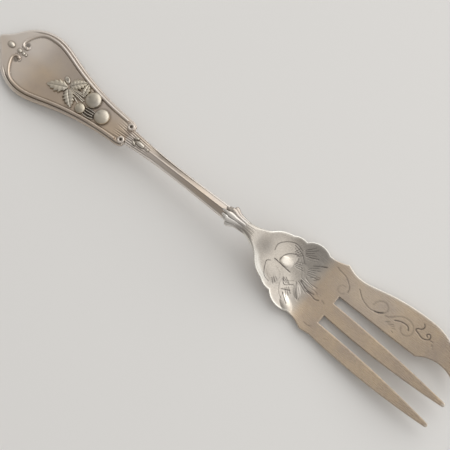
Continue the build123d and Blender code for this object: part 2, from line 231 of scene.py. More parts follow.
def sheet(x, y, top, bottom, keep=None, marks=()):
    """Points, faces and marks of a closed body between two heights over a grid."""
    rows, cols = x.shape
    index = np.arange(rows * cols).reshape(rows, cols)
    quads = np.stack([index[:-1, :-1], index[1:, :-1], index[1:, 1:], index[:-1, 1:]], -1)
    quads = quads.reshape(-1, 4) if keep is None else quads[keep]
    ends = np.concatenate([quads[:, [i, (i + 1) % 4]] for i in range(4)])
    code = ends[:, 0] * (rows * cols) + ends[:, 1]
    back = ends[:, 1] * (rows * cols) + ends[:, 0]
    rim = ends[~np.isin(back, code)]
    used = np.unique(quads)
    new = np.full(rows * cols, -1)
    new[used] = np.arange(len(used))
    quads, rim, n = new[quads], new[rim], len(used)
    flat = [grid.ravel()[used] for grid in (x, y, top, bottom)]
    points = np.concatenate([np.stack(flat[:3], 1), np.stack([flat[0], flat[1], flat[3]], 1)])
    walls = np.stack([rim[:, 1], rim[:, 0], rim[:, 0] + n, rim[:, 1] + n], 1)
    faces = np.concatenate([quads, quads[:, ::-1] + n, walls]).tolist()
    return points, faces, [np.concatenate([mark.ravel()[used], np.zeros(n)]) for mark in marks]


def tube(path, wide, high, level, sides):
    """Points and faces of a wire on a flat path, with half sizes for each of its points."""
    way = np.gradient(path, axis=0)
    way /= np.linalg.norm(way, axis=1)[:, None]
    across = np.stack([-way[:, 1], way[:, 0]], 1)
    turn = np.linspace(0, 2 * pi, sides, endpoint=False)
    wide, high, level = (np.broadcast_to(v, len(path)) for v in (wide, high, level))
    flat = path[:, None, :] + across[:, None, :] * (wide[:, None] * np.cos(turn))[:, :, None]
    lift = level[:, None] + high[:, None] * np.sin(turn)
    points = np.concatenate([flat, lift[:, :, None]], 2).reshape(-1, 3)
    return points, ring_faces(len(path), sides)


def ring_faces(rings, sides):
    """Faces that join rings of points in turn, with both ends closed."""
    index = np.arange(rings * sides).reshape(rings, sides)
    beside = np.roll(index, -1, axis=1)
    quads = np.stack([index[:-1], beside[:-1], beside[1:], index[1:]], -1).reshape(-1, 4).tolist()
    return quads + [index[0][::-1].tolist(), index[-1].tolist()]


def joined(pieces):
    """Several bodies as one set of points and faces."""
    points, faces, start = [], [], 0
    for p, f in pieces:
        points.append(p)
        faces += [[i + start for i in face] for face in f]
        start += len(p)
    return np.concatenate(points), faces


def blob(x, y, turn, length, width, height, level, sink=0.12, dent=None, flat=1.0, rings=28, sides=48):
    """Points and faces of a rounded bead that lies on a level, with its underside nearly flat."""
    fall = np.linspace(0.02, pi - 0.02, rings)[:, None]
    round_ = np.linspace(0, 2 * pi, sides, endpoint=False)[None, :]
    u = np.sin(fall) * np.cos(round_)
    v = np.sin(fall) * np.sin(round_)
    w = np.cos(fall) * np.ones_like(round_)
    grow = 1 if dent is None else 1 + dent(u, v, w)
    px = u * length / 2 * grow
    py = v * width / 2 * grow
    pz = np.where(w > 0, np.abs(w) ** flat * height * grow, w * sink)
    c, s = cos(radians(turn)), sin(radians(turn))
    points = np.stack([x + px * c - py * s, y + px * s + py * c, level + pz], -1).reshape(-1, 3)
    return points, ring_faces(rings, sides)


# Handle

def handle_edge():
    """Half outline of the handle, from the tip to the collar."""
    plate = smooth(EDGE_POINTS, 260, start=(0, 1), end=(1, -0.05))
    ear = smooth((EDGE_POINTS[-1], (45.2, 3.62), EAR_END), 14, start=(1, -0.05))
    along = np.linspace(STEM_START, STEM_END, 80)
    stem = np.stack([along, profile(along, STEM_HALF)], 1)
    return np.concatenate([plate, ear[1:], stem])


def border_path():
    """Middle of the left border rail, from the shoulder to the end of its volute."""
    edge = smooth(EDGE_POINTS, 400, start=(0, 1), end=(1, -0.05))
    way = np.gradient(edge, axis=0)
    way /= np.linalg.norm(way, axis=1)[:, None]
    share = np.linspace(0, 1, 400)
    inset = BORDER_WIDE + (BORDER_NARROW - BORDER_WIDE) * share
    inside = np.stack([edge[:, 0] + way[:, 1] * inset, edge[:, 1] - way[:, 0] * inset], 1)
    run = inside[share > RAIL_FRONT][::-1]
    run = run[np.linspace(0, len(run) - 1, 13).astype(int)]
    curl = []
    for turn in range(150, 331, 30):
        reach = VOLUTE_RADIUS - VOLUTE_PITCH * (turn - 150) / 360
        curl.append(np.add(VOLUTE_CENTRE, (reach * cos(radians(turn)), reach * sin(radians(turn)))))
    return smooth(np.concatenate([run, [RAIL_SWING], curl]), 420)


def shaded_hollows():
    """Hollows round the ornament, darkened by tarnish and painted shade: x, y, half length, half width,
    turn, darkness.
    """
    for x, y, radius, *_ in CHERRIES.values():
        yield x, y, radius + 0.1, radius + 0.1, 0, 0.5
    for x, y, turn, length, width, *_, crisp in LEAVES.values():
        reach = length / 2
        middle = x + reach * cos(radians(turn)), y + reach * sin(radians(turn))
        yield *middle, reach, width / 2, turn, 0.35 * crisp
    yield *BUD[:2], BUD[3] / 2 + 0.1, BUD[4] / 2 + 0.1, BUD[2], 0.6
    yield from STALK_SHADOW_BEDS
    for x, length, width, _, _ in BEADS.values():
        yield x, 0, length / 2 + 0.12, width / 2 + 0.12, 0, 0.55
    for sign in (1, -1):
        yield VOLUTE_CENTRE[0] + 0.1, sign * VOLUTE_CENTRE[1], 0.6, 0.6, 0, 0.7
        yield RING_AT[0], sign * RING_AT[1], 0.3, 0.3, 0, 0.6
        yield LOBE_AT[0], sign * LOBE_AT[1], LOBE_LENGTH / 2, LOBE_WIDTH / 2, sign * LOBE_TURN, 0.7


def make_handle():
    """Plate with bevelled rim and sunk field, and the ridged stem."""
    edge = handle_edge()
    rail = border_path()
    x = np.concatenate(
        [
            0.02 + 0.5 * np.linspace(0, 1, 12, endpoint=False) ** 2,
            np.arange(0.52, 10, 0.12),
            np.arange(10, 43, 0.2),
            np.arange(43, 47, 0.1),
            np.arange(47, STEM_END, 0.3),
            [STEM_END],
        ]
    )
    half = np.interp(x, edge[:, 0], edge[:, 1])
    near = np.minimum(2.4, 0.75 * half)
    steps = np.linspace(0, 1, 31)
    steps = 0.5 * steps + 0.5 * steps**2
    middle = np.linspace(0, 1, 41)[1:-1]
    y = np.concatenate(
        [
            -half[:, None] + near[:, None] * steps,
            (near - half)[:, None] + 2 * (half - near)[:, None] * middle,
            half[:, None] - near[:, None] * steps[::-1],
        ],
        1,
    )
    xx = np.broadcast_to(x[:, None], y.shape)
    side = np.abs(y)
    gap = distance(xx, side, edge)
    on_plate = 1 - ease(45.6, 46.6, xx)
    on_stem = 1 - on_plate
    upper = ease(-0.5, 2.5, y)

    # End plate: rounded rim, dark groove, land under the rail and the sunk field
    inset = BORDER_WIDE + (BORDER_NARROW - BORDER_WIDE) * np.clip(xx / 46, 0, 1)
    rim = 1.0 + 0.55 * np.sin(pi / 2 * np.clip(gap / 0.62, 0, 1))
    lead = rail[: np.argmin(rail[:, 0]) + 1][::-1]
    rail_gap = distance(xx, side, rail)
    inside = (side < np.interp(xx, lead[:, 0], lead[:, 1])) & (xx > lead[0, 0]) & (xx < 46)
    field = np.where(inside, ease(RAIL_HALF, RAIL_HALF + 0.14, rail_gap), 0)
    field = field * ease(6.5, 15.0, xx) * (1 - ease(37.0, 44.5, xx))
    groove = bump(gap - np.maximum(inset - RAIL_HALF - 0.22, 0.35), 0.14) * ease(6.0, 9.0, xx)
    foot = bump(rail_gap - RAIL_HALF - 0.1, 0.1) * inside
    plate_top = rim - (PLATE - FIELD) * field - GROOVE_DEPTH * groove - FOOT_DEPTH * foot
    plate_top = plate_top + 0.006 * ripple(xx, y, 5.0, 3) * field

    # Stem: two facets with a ridge, thin lips and a reeded root
    eaves = profile(x, STEM_EAVES)[:, None]
    ridge = profile(x, STEM_RIDGE)[:, None]
    slope = 1 - np.sqrt((side / half[:, None]) ** 2 + 0.004)
    stem_top = eaves + (ridge - eaves) * slope
    lane = profile(np.maximum(x, STEM_HALF[0][0]), STEM_HALF)[:, None] - side
    reeded = ease(41.0, 45.0, xx) * (1 - ease(50.0, 55.0, xx))
    reeds = reeded * sum(bump(lane - offset, 0.13) for offset in REED_OFFSETS)
    lip = on_stem * (1 - reeded) * bump(gap - 0.42, 0.1)
    stem_top = stem_top - LIP_DEPTH * lip - EAVES_DROP * (1 - ease(0, 0.16, gap))

    top = on_plate * plate_top + on_stem * stem_top - REED_DEPTH * reeds
    bottom = 0.28 * (1 - ease(0, 0.4, gap))

    # Grooves, reeds and hollows darkened by tarnish and painted shade, and a brighter rim, nose and stem
    # with painted highlights
    # Painted shade in the grooves and at the rail's foot, painted lighter on the upper side
    patina_and_shade = on_plate * (groove * (0.95 - 0.55 * upper) + foot * (0.85 - 0.45 * upper))
    # Painted shade on the field beside the leaves, deeper on the upper side, with uneven tone
    shade = bump((xx - 24) / 9, 1.0) * (0.12 + 0.14 * upper) + 0.03 * ripple(xx, y, 7.0, 8)
    patina_and_shade = patina_and_shade + on_plate * field * shade
    # Painted shade in the reeds and lips, lighter on the upper side, and a dark line along the lower side of
    # the stem's ridge
    ridge_shade = on_stem * (1 - reeded) * bump(y + 0.12, 0.12)
    patina_and_shade = patina_and_shade + (0.65 - 0.35 * upper) * reeds + 0.5 * lip + 0.35 * ridge_shade
    for *shape, depth in shaded_hollows():
        u, v = oval(xx, y, *shape)
        patina_and_shade = np.maximum(patina_and_shade, depth * (1 - ease(0.9, 1.3, np.sqrt(u * u + v * v))))
    # Painted highlights on the upper side of the plate and on both facets of the stem, with a brighter rim
    # and nose
    nose = 1 - ease(9.0, 18.0, xx)
    wear_and_highlight = on_plate * (0.4 * bump(gap - 0.3, 0.35) + 0.45 * nose + 0.25 * upper)
    lower = (1 - upper) * (0.6 - 0.33 * ease(58, 72, xx))
    wear_and_highlight = wear_and_highlight + on_stem * (0.9 * upper * ease(62, 78, xx) + lower + 0.75 * bump(gap - 0.15, 0.2))
    # Painted shade on the upper facet of the stem's root
    root = ease(51, 57, xx) * (1 - ease(57, 73, xx))
    patina_and_shade = patina_and_shade + 0.75 * root * ease(0.0, 0.5, y) * ease(0.15, 0.4, gap)
    points, faces, marks = sheet(xx, y, top, bottom, marks=(patina_and_shade, wear_and_highlight))
    piece = solid("handle_body", on_handle(points), faces, "satin_silver", *marks)
    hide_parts("handle_blank")
    return piece


def make_rails():
    """Rounded border wires that end in a small ball."""
    path = border_path()
    share = np.linspace(0, 1, len(path))
    length = np.linalg.norm(np.diff(path, axis=0), axis=1).sum()
    to_end = (1 - share) * length
    wide = RAIL_HALF + 0.14 * bump(to_end - 0.5, 0.35)
    wide = wide * np.sqrt(np.clip(to_end / 0.35, 0.001, 1)) * np.sqrt(np.clip(share * length / 0.2, 0.01, 1))
    high = np.minimum(1.15 * wide, RAIL_HIGH)
    made = []
    for name, sign in (("left", 1), ("right", -1)):
        points, faces = tube(path * np.array([1, sign]), wide, high, PLATE - 0.06, RAIL_SIDES)
        if sign < 0:
            faces = [face[::-1] for face in faces]
        # Uneven tone, painted shade at the foot of each wire, and the upper rail painted brighter than the
        # lower one
        patina_and_shade = np.repeat(0.05 + 0.1 * ripple(path[:, 0], path[:, 1], 6, 5), RAIL_SIDES)
        low = np.clip((PLATE + 0.08 - points[:, 2]) / 0.2, 0, 1)
        wear_and_highlight = 0.45 + 0.2 * sign
        piece = solid(f"rail_{name}", on_handle(points), faces, "satin_silver", patina_and_shade + 0.7 * low, wear_and_highlight)
        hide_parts(f"border_rail_{name}")
        made.append(piece)
    return made


def make_rings():
    """Wire rings on the shoulders."""
    steps, sides = 48, 16
    turn = np.linspace(0, 2 * pi, steps, endpoint=False)
    around = np.linspace(0, 2 * pi, sides, endpoint=False)
    reach = RING_RADIUS + RING_WIRE * np.cos(around) + RING_INNER * np.minimum(np.cos(around), 0)
    made = []
    for name, sign in (("left", 1), ("right", -1)):
        x = RING_AT[0] + np.cos(turn)[:, None] * reach
        y = sign * RING_AT[1] + np.sin(turn)[:, None] * reach
        z = PLATE + 0.15 + (0.32 + 0.03 * np.sin(3 * turn))[:, None] * np.sin(around)
        index = np.arange(steps * sides).reshape(steps, sides)
        down, over = np.roll(index, -1, 0), np.roll(index, -1, 1)
        faces = np.stack([index, down, np.roll(down, -1, 1), over], -1).reshape(-1, 4).tolist()
        points = np.stack([x, y, z], -1).reshape(-1, 3)
        # Painted shade in the ring's hole: the inner side of the wire darker
        patina_and_shade = np.broadcast_to(0.6 * (np.cos(around) < -0.6) + 0.1, x.shape).ravel()
        piece = solid(f"ring_{name}", on_handle(points), faces, "satin_silver", patina_and_shade, 0.6)
        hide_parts(f"shoulder_ring_{name}")
        made.append(piece)
    return made


# Ornament

def leaf_body(x, y, turn, length, width, bend, teeth, cup, crisp, seed):
    """A toothed leaf with a sunk middle vein, side veins and swollen blades."""
    t = np.linspace(0.01, 0.995, 84)[:, None]
    u = np.linspace(-1, 1, 45)[None, :]
    bow = np.sin(pi * t**0.75)
    saw = (t * teeth + 0.12 * np.sign(u)) % 1
    half = width / 2 * (bow * (0.7 + 0.45 * saw) + 0.04)
    px = t * length + 0.066 * width * bow * np.abs(u) * saw
    py = u * half + bend * t**2
    blade = 1 - np.abs(np.abs(u) - 0.42) ** 2 * 1.6
    vein = bump(u * half, 0.1) * (1 - 0.5 * t)
    ribs = np.abs(np.sin((t * teeth - 0.55 * np.abs(u)) * pi)) ** 0.6
    carving = crisp * (0.1 * (ribs - 0.5) * bow - 0.16 * vein)
    rise = 0.3 + 0.34 * blade * bow + carving + cup * u * bow
    rise = rise + 0.03 * ripple(px * np.ones_like(u), py, 1.7, seed)
    edge = 1 - np.abs(u) * np.ones_like(t)
    rise = rise * (0.35 + 0.65 * ease(0, 0.16, edge)) * ease(0, 0.05, 1 - t)
    # Veins, dips between the ribs and the rim darkened by tarnish and painted shade, and the middle of the
    # leaf brighter
    patina_and_shade = crisp * (0.7 * vein + 0.4 * (1 - ribs) ** 2) + 0.2 * (1 - ease(0, 0.12, edge))
    c, s = cos(radians(turn)), sin(radians(turn))
    gx, gy = x + px * c - py * s, y + px * s + py * c
    return sheet(gx, gy, FIELD + rise, np.full(gx.shape, FIELD - 0.1), marks=(patina_and_shade, 0.3 * crisp * edge))


def make_leaves():
    """The toothed leaves and the closed bud."""
    made = []
    for number, (name, size) in enumerate(LEAVES.items()):
        points, faces, marks = leaf_body(*size, 11 + number)
        piece = solid(f"leaf_{name}_relief", on_handle(points), faces, "relief_silver", *marks)
        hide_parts(f"leaf_{name}")
        made.append(piece)

    def cleft(u, v, w):
        return -0.3 * (1 - ease(0.45, 0.75, np.sqrt(u * u + v * v))) * (w > 0)

    points, faces = blob(*BUD, 0.6, FIELD, dent=cleft)
    away = np.hypot(points[:, 0] - BUD[0], points[:, 1] - BUD[1])
    # Painted shade under the bud and in its cleft
    patina_and_shade = 0.5 * (points[:, 2] < FIELD + 0.15) + 0.5 * (1 - ease(0.35, 0.6, away))
    piece = solid("leaf_bud_relief", on_handle(points), faces, "relief_silver", patina_and_shade, 0.3)
    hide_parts("leaf_bud")
    made.append(piece)
    return made


def make_cherries():
    """Cherries with a dimple at the stalk."""
    made = []
    for name, (x, y, radius, height, toward, wear_and_highlight, face_darkening) in CHERRIES.items():
        c, s = cos(radians(toward)), sin(radians(toward))

        def dimple(u, v, w):
            away = (u * c + v * s) - 0.55
            aside = v * c - u * s
            pit = 0.1 * np.exp(-(away**2 + aside**2) / 0.03) * (w > 0)
            return 0.012 * ripple(u, v, 0.8, 31) - pit - 0.03 * bump(aside, 0.05) * (away > 0.1)

        size = (2 * radius, 2 * radius, height)
        points, faces = blob(x, y, 0, *size, FIELD, dent=dimple, flat=0.65, rings=44, sides=72)
        away = np.hypot(points[:, 0] - x, points[:, 1] - y) / radius
        # Painted shade towards the base of each cherry, and the face darker in the middle
        patina_and_shade = 0.8 * np.clip((FIELD + 0.35 - points[:, 2]) / 0.4, 0, 1) ** 1.5
        patina_and_shade = np.maximum(patina_and_shade, face_darkening * (1 - ease(0.45, 0.75, away)))
        piece = solid(f"cherry_{name}_relief", on_handle(points), faces, "relief_silver", patina_and_shade, wear_and_highlight)
        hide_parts(f"cherry_{name}")
        made.append(piece)
    return made


def make_stalks():
    """Groups of thin wires between the leaves and the cherries."""
    made = []
    for name, lines in STALKS.items():
        bodies = []
        for number, line in enumerate(lines):
            path = smooth(line, 48)
            share = np.linspace(0, 1, 48)
            ends = np.sqrt(np.clip(share / 0.06, 0.01, 1)) * np.sqrt(np.clip((1 - share) / 0.06, 0.01, 1))
            thick = ends * (BUNDLE_HALF if name == "stalk_bundle" else STALK_HALF)
            lift = FIELD + 0.16 + 0.1 * np.sin(pi * share) + 0.03 * number
            bodies.append(tube(path, thick, thick * 1.25, lift, STALK_SIDES))
        points, faces = joined(bodies)
        # Painted shade on the underside of the wires
        patina_and_shade = 0.8 * np.clip((FIELD + 0.22 - points[:, 2]) / 0.3, 0, 1)
        piece = solid(f"{name}_relief", on_handle(points), faces, "relief_silver", patina_and_shade, 0.35)
        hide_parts(name)
        made.append(piece)
    return made


def make_beads():
    """Beads of the crest and the pendant husk."""
    def creased(u, v, w):
        return -0.1 * (bump(v - 0.36, 0.1) + bump(v + 0.36, 0.1)) * (w > 0)

    def capped(u, v, w):
        return -0.07 * bump(np.sqrt(u * u + v * v) - 0.8, 0.09) * (w > 0)

    made = []
    for name, (x, length, width, height, level) in BEADS.items():
        dent = creased if name == "husk_body" else capped
        points, faces = blob(x, 0, 0, length, width, height, level, sink=0.3, dent=dent)
        # Painted shade on the underside of the beads
        patina_and_shade = 0.7 * np.clip((level + 0.12 - points[:, 2]) / 0.2, 0, 1)
        piece = solid(f"{name}_relief", on_handle(points), faces, "relief_silver", patina_and_shade, 0.45)
        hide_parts(name)
        made.append(piece)
    lobes = []
    for sign in (1, -1):
        size = (sign * LOBE_TURN, LOBE_LENGTH, LOBE_WIDTH, LOBE_HEIGHT, LOBE_LEVEL)
        lobes.append(blob(LOBE_AT[0], sign * LOBE_AT[1], *size, sink=0.3, dent=creased))
    points, faces = joined(lobes)
    # Painted shade on the underside of the lobes
    patina_and_shade = 0.8 * np.clip((1.85 - points[:, 2]) / 0.2, 0, 1)
    piece = solid("husk_lobes_relief", on_handle(points), faces, "relief_silver", patina_and_shade, 0.3)
    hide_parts("husk_lobes")
    made.append(piece)
    return made


# Collar: half width and half height over its length, and on over the neck
COLLAR_HALF = (
    (0, 1.85), (0.12, 2.0), (0.2, 2.5), (0.28, 2.85), (0.37, 2.7),
    (0.5, 2.25), (0.75, 1.88), (1, 1.76), (1.4, 1.55),
)
COLLAR_HIGH = ((0, 1.3), (0.25, 1.6), (0.5, 1.4), (0.8, 1.12), (1, 1.08), (1.2, 0.9), (1.4, 0.4))
COLLAR_LEVEL, COLLAR_FOLDS, PETAL_REACH = 1.45, 5, 1.2


def make_collar():
    """Fluted calyx with ears that stand out beside the stem."""
    rings, sides = 66, 144
    share = np.linspace(0, COLLAR_HALF[-1][0], rings)[:, None]
    turn = np.linspace(0, 2 * pi, sides, endpoint=False)[None, :]
    wide = profile(share[:, 0], COLLAR_HALF)[:, None]
    high = profile(share[:, 0], COLLAR_HIGH)[:, None]
    petal = np.abs(np.cos(turn * COLLAR_FOLDS + pi / 2))
    flute = petal**0.55
    swell = 1 + 0.26 * (flute - 0.85) * (1 - 0.6 * share)
    reach = -PETAL_REACH * petal * np.clip(np.sin(turn), 0, 1) ** 3 * np.clip(1 - share, 0, 1) ** 2
    x = STEM_END + 0.05 + share * (COLLAR_END - STEM_END - 0.1) + reach
    y = wide * swell * np.cos(turn)
    z = COLLAR_LEVEL + high * swell * np.sin(turn)
    points = np.stack(np.broadcast_arrays(x, y, z), -1).reshape(-1, 3)
    # Painted light: the upper side darker and the lower petals painted bright; the flutes darkened by
    # tarnish and painted shade
    facing = ease(-0.4, 0.7, np.cos(turn))
    blend = ease(0.5, 0.95, share)
    patina_and_shade = np.maximum(bump(flute, 0.55) * (1 - 0.5 * share), 0.3 * facing * (1 - blend) + 0.38 * blend)
    wear_and_highlight = (0.9 - 0.75 * facing) * (1 - blend) + 0.6 * blend
    faces = ring_faces(rings, sides)
    piece = solid("calyx", on_handle(points), faces, "relief_silver", patina_and_shade.ravel(), wear_and_highlight.ravel())
    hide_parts("calyx_collar")
    return piece


# Head

HEAD_START = 82.6
NECK_LINE = ((82.0, 1.7), (85.5, 1.7), (88.2, 2.45), (90.6, 3.95))
# Scallops: a point on each arc and its end
SCALLOPS = (
    ((93.3, 6.2), (95.2, 6.9)),
    ((96.9, 7.75), (98.7, 7.85)),
    ((101.9, 9.68), (105.4, 9.1)),
    ((108.0, 9.35), (110.6, 10.4)),
)
SCALLOP_END = SCALLOPS[-1][1]
# Heights of the sheet over x: top on the axis, rise of the sides, half width of that rise, thickness
FLAT_START = 114
TOP_STATIONS = (
    (82.5, 10.9), (85, 11.45), (86.5, 11.35), (90, 8.95), (94, 5.3),
    (98, 2.9), (103, 1.35), (108, 1.55), (FLAT_START, 2.1),
)
DISH_STATIONS = (
    (82, -0.6), (86.5, -0.55), (90, 0.1), (94, 1.1),
    (98, 1.9), (103, 1.9), (108, 0.8), (FLAT_START, 0.02),
)
SPAN_STATIONS = (
    (82, 2.6), (86.5, 3.0), (90, 5.0), (94, 8.0),
    (98, 9.5), (103, 11), (108, 12), (FLAT_START, 13.5),
)
THICK_STATIONS = ((82, 2.5), (86.5, 2.4), (90, 2.0), (94, 1.6), (98, 1.35), (114, 1.3), (152, 1.1))
TINE_SLOPE = 3.4 / 38
# Slots between the tines: lower and upper edge
SLOT_BASE = 113.6
SLOTS = ((-6.25, -3.92), (0.08, 2.3))
# Slender tines: edges at the root, end, y of the tip, a point on each edge
SLENDER_TINES = (
    ((-10.0, SLOTS[0][0]), 150.7, -9.6, ((134.0, -10.84), (134.0, -7.3))),
    ((SLOTS[0][1], SLOTS[1][0]), 151.0, -2.95, ((134.0, -4.4), (136.0, -1.05))),
)
TIP_BLUNT = 0.55
# Cutting tine: arc of the notch, tip, back, a point on the cutting curve
NOTCH = ((137.7, SLOTS[1][1]), (143.8, 4.45), (150.4, 1.75))
CUT_TIP = ((150.85, 1.45), (151.0, 1.35))
CUT_BACK = ((114.0, 9.4), (122.2, 10.6), (135.7, 12.06))
CUT_CURVE = (142.2, 10.8)

# Chased lines of the bowl and the cutting tine: points, half width, depth
STROKES = (
    (((94.9, -0.75), (97.0, -0.75), (99.9, -0.78)), 0.17, 1.0),
    (((93.7, 0.8), (93.4, 2.4), (94.2, 3.9), (95.5, 5.1), (96.6, 5.65), (99.0, 5.4)), 0.13, 0.75),
    (((96.0, -0.1), (96.2, 1.4), (96.95, 2.65), (98.0, 3.45), (99.2, 3.9)), 0.15, 0.8),
    (((96.8, 5.2), (98.6, 5.0), (99.9, 4.5), (101.2, 3.5)), 0.12, 0.8),
    (((97.0, 4.7), (98.4, 4.3), (99.6, 4.2)), 0.1, 0.6),
    (((99.4, 3.4), (99.7, 2.4), (99.6, 1.5)), 0.11, 0.7),
    (((100.2, 3.6), (100.5, 2.6), (100.6, 1.8)), 0.1, 0.6),
    (((100.8, 3.0), (102.4, 2.1), (103.4, 0.8)), 0.1, 0.5),
    (((101.0, 2.2), (102.2, 1.2), (102.9, 0.0)), 0.1, 0.5),
    (((100.6, 5.0), (102.4, 5.75), (103.6, 6.45)), 0.11, 0.7),
    (((101.0, 4.6), (102.6, 5.2), (104.2, 6.1)), 0.11, 0.6),
    (((103.5, 4.3), (104.7, 5.15), (105.2, 5.4)), 0.12, 0.8),
    (((105.3, 5.55), (106.5, 6.25)), 0.17, 1.0),
    (((104.7, 1.5), (105.8, 2.3), (106.7, 3.05)), 0.11, 0.7),
    (((105.9, 1.5), (106.6, 2.3), (106.9, 2.9)), 0.11, 0.7),
    (((103.8, 0.9), (105.2, 0.4), (107.8, 0.45)), 0.12, 0.8),
    (((103.4, -0.5), (105.5, -1.45), (108.2, -1.35)), 0.13, 0.9),
    (((106.0, -0.6), (107.8, -0.5), (108.9, -0.7)), 0.1, 0.6),
    (((106.2, -1.9), (108.2, -2.0), (109.2, -2.15), (110.1, -1.75)), 0.14, 0.9),
    (((110.7, -1.25), (111.7, -1.55)), 0.15, 0.4),
    (((102.6, -1.6), (103.4, -2.6), (104.2, -3.7), (105.5, -5.05)), 0.13, 0.8),
    (((103.4, -2.0), (104.6, -3.0), (105.7, -4.3), (106.0, -5.2)), 0.11, 0.6),
    (((99.45, -2.75), (100.2, -3.85), (100.7, -4.15), (101.5, -3.65), (102.6, -2.75)), 0.13, 0.9),
    (((100.3, -3.0), (101.1, -2.7), (101.9, -1.9)), 0.1, 0.6),
    (((100.9, -5.5), (101.9, -4.9), (102.8, -4.45)), 0.15, 0.9),
    (((101.7, -5.95), (102.8, -6.75), (104.2, -7.65)), 0.16, 1.0),
    (((99.6, -4.6), (100.2, -5.6), (101.0, -6.6), (102.4, -7.5)), 0.11, 0.7),
    (((94.45, -1.85), (93.8, -2.45), (94.1, -3.65), (94.9, -5.05), (95.5, -5.75), (97.4, -6.2)), 0.13, 0.8),
    (((97.2, -3.85), (97.8, -4.75), (98.6, -5.3)), 0.12, 0.5),
    (((96.4, -2.0), (97.9, -2.4), (98.8, -3.4), (99.0, -4.6)), 0.11, 0.5),
    (((108.6, 8.05), (109.7, 7.75), (111.6, 7.45), (113.3, 6.5), (114.3, 5.55), (114.6, 4.45)), 0.15, 0.55),
    (((114.0, 3.6), (112.9, 3.1), (111.9, 3.9), (112.3, 5.1), (113.4, 5.2)), 0.17, 0.22),
    (((116.4, 7.05), (117.3, 6.35), (118.6, 5.45), (120.0, 4.95), (121.6, 4.7), (123.0, 4.95)), 0.13, 0.7),
    (((122.8, 4.9), (123.6, 5.15), (124.3, 5.55), (124.8, 5.95)), 0.22, 1.0),
    (
        ((121.6, 6.1), (121.9, 7.3), (122.7, 8.1), (123.8, 8.35), (124.9, 7.9), (125.4, 6.9), (125.0, 6.0)),
        0.24,
        0.28,
    ),
    (
        (
            (125.5, 5.65), (126.6, 6.05), (127.8, 7.15), (129.1, 8.15), (130.8, 8.55), (132.5, 8.15),
            (133.45, 7.05), (133.6, 5.8), (132.8, 4.85), (131.6, 4.7), (130.8, 5.15), (130.4, 5.95),
        ),
        0.25,
        0.32,
    ),
    (((128.2, 6.25), (129.4, 6.85), (130.8, 7.15), (131.9, 6.95), (132.4, 6.3)), 0.18, 0.9),
    (((126.6, 4.55), (127.5, 5.15)), 0.12, 0.8),
    (((127.5, 4.5), (128.6, 5.15)), 0.12, 0.7),
    (((128.1, 4.4), (129.1, 4.85)), 0.11, 0.6),
    (((128.9, 4.2), (129.6, 4.5)), 0.11, 0.6),
    (((129.2, 3.6), (129.7, 3.45)), 0.12, 0.6),
    (
        (
            (134.6, 10.15), (135.1, 9.65), (135.1, 9.15), (134.7, 8.55), (133.9, 8.15), (133.7, 7.8),
            (134.7, 7.35), (136.1, 6.95), (137.2, 7.2), (137.9, 7.9), (137.75, 8.55), (137.2, 8.85),
            (136.7, 8.45), (137.1, 7.95),
        ),
        0.17,
        1.0,
    ),
    (((138.2, 7.65), (139.0, 7.75)), 0.13, 0.8),
    (((139.1, 7.15), (139.6, 6.75)), 0.13, 0.7),
    (((139.8, 6.5), (140.1, 6.25)), 0.12, 0.5),
    (((110.6, -8.4), (111.9, -8.5), (112.7, -8.1)), 0.13, 0.5),
    (((117.0, -8.6), (118.0, -8.4)), 0.1, 0.25),
)

STROKE_SCALE, BOWL_STROKE_SCALE, STROKE_DEPTH = 0.78, 0.85, 0.05

# Fine hatching of the bowl: x and y of the first line, direction, length, lines, spacing
HATCHES = (
    (100.4, 4.9, 38, 3.4, 5, 0.36),
    (100.0, 1.2, 20, 2.4, 4, 0.4),
    (103.6, 1.6, 25, 3.2, 5, 0.42),
    (103.0, -1.1, -12, 3.6, 4, 0.4),
    (99.9, -2.4, -20, 1.9, 3, -0.45),
    (97.3, -4.9, -35, 1.6, 3, 0.5),
    (101.4, -4.6, -42, 2.6, 3, 0.42),
    (98.8, 3.3, 62, 1.8, 4, 0.42),
)
# Flutes of the collar that run on along the neck
FLUTES = (85.0, -1.05, 2, 3.6, 5, 0.5)
HATCH_HALF, HATCH_DEPTH, FLUTE_DEPTH = 0.09, 0.8, 0.35

# Spots of the bowl with painted highlights: x, y, half length, half width, turn
PAINTED_HIGHLIGHT_SPOTS = (
    (97.7, 1.0, 1.9, 1.3, 40),
    (103.8, -6.8, 2.4, 0.7, -30),
)

# Raised fruit of the bowl: x, y, half length, half width, turn, height
SWELLS = (
    (96.6, 2.4, 3.3, 2.6, 60, 0.1),
    (97.6, 0.6, 1.9, 1.3, 10, 0.2),
    (97.0, -3.2, 3.0, 2.2, -40, 0.22),
    (104.2, -7.7, 2.6, 1.4, -30, 0.25),
    (103.2, 4.9, 2.6, 1.0, 32, 0.08),
    (105.6, -0.6, 2.6, 1.2, -5, 0.07),
    (104.4, -3.4, 2.0, 0.9, -48, 0.09),
)


def head_half():
    """Half outline of the neck and the scalloped bowl."""
    parts = [smooth(NECK_LINE, 60, start=(1, 0), end=(0.7, 0.7))]
    start = NECK_LINE[-1]
    for middle, end in SCALLOPS:
        parts.append(arc(start, middle, end, 36)[1:])
        start = end
    return np.concatenate(parts)


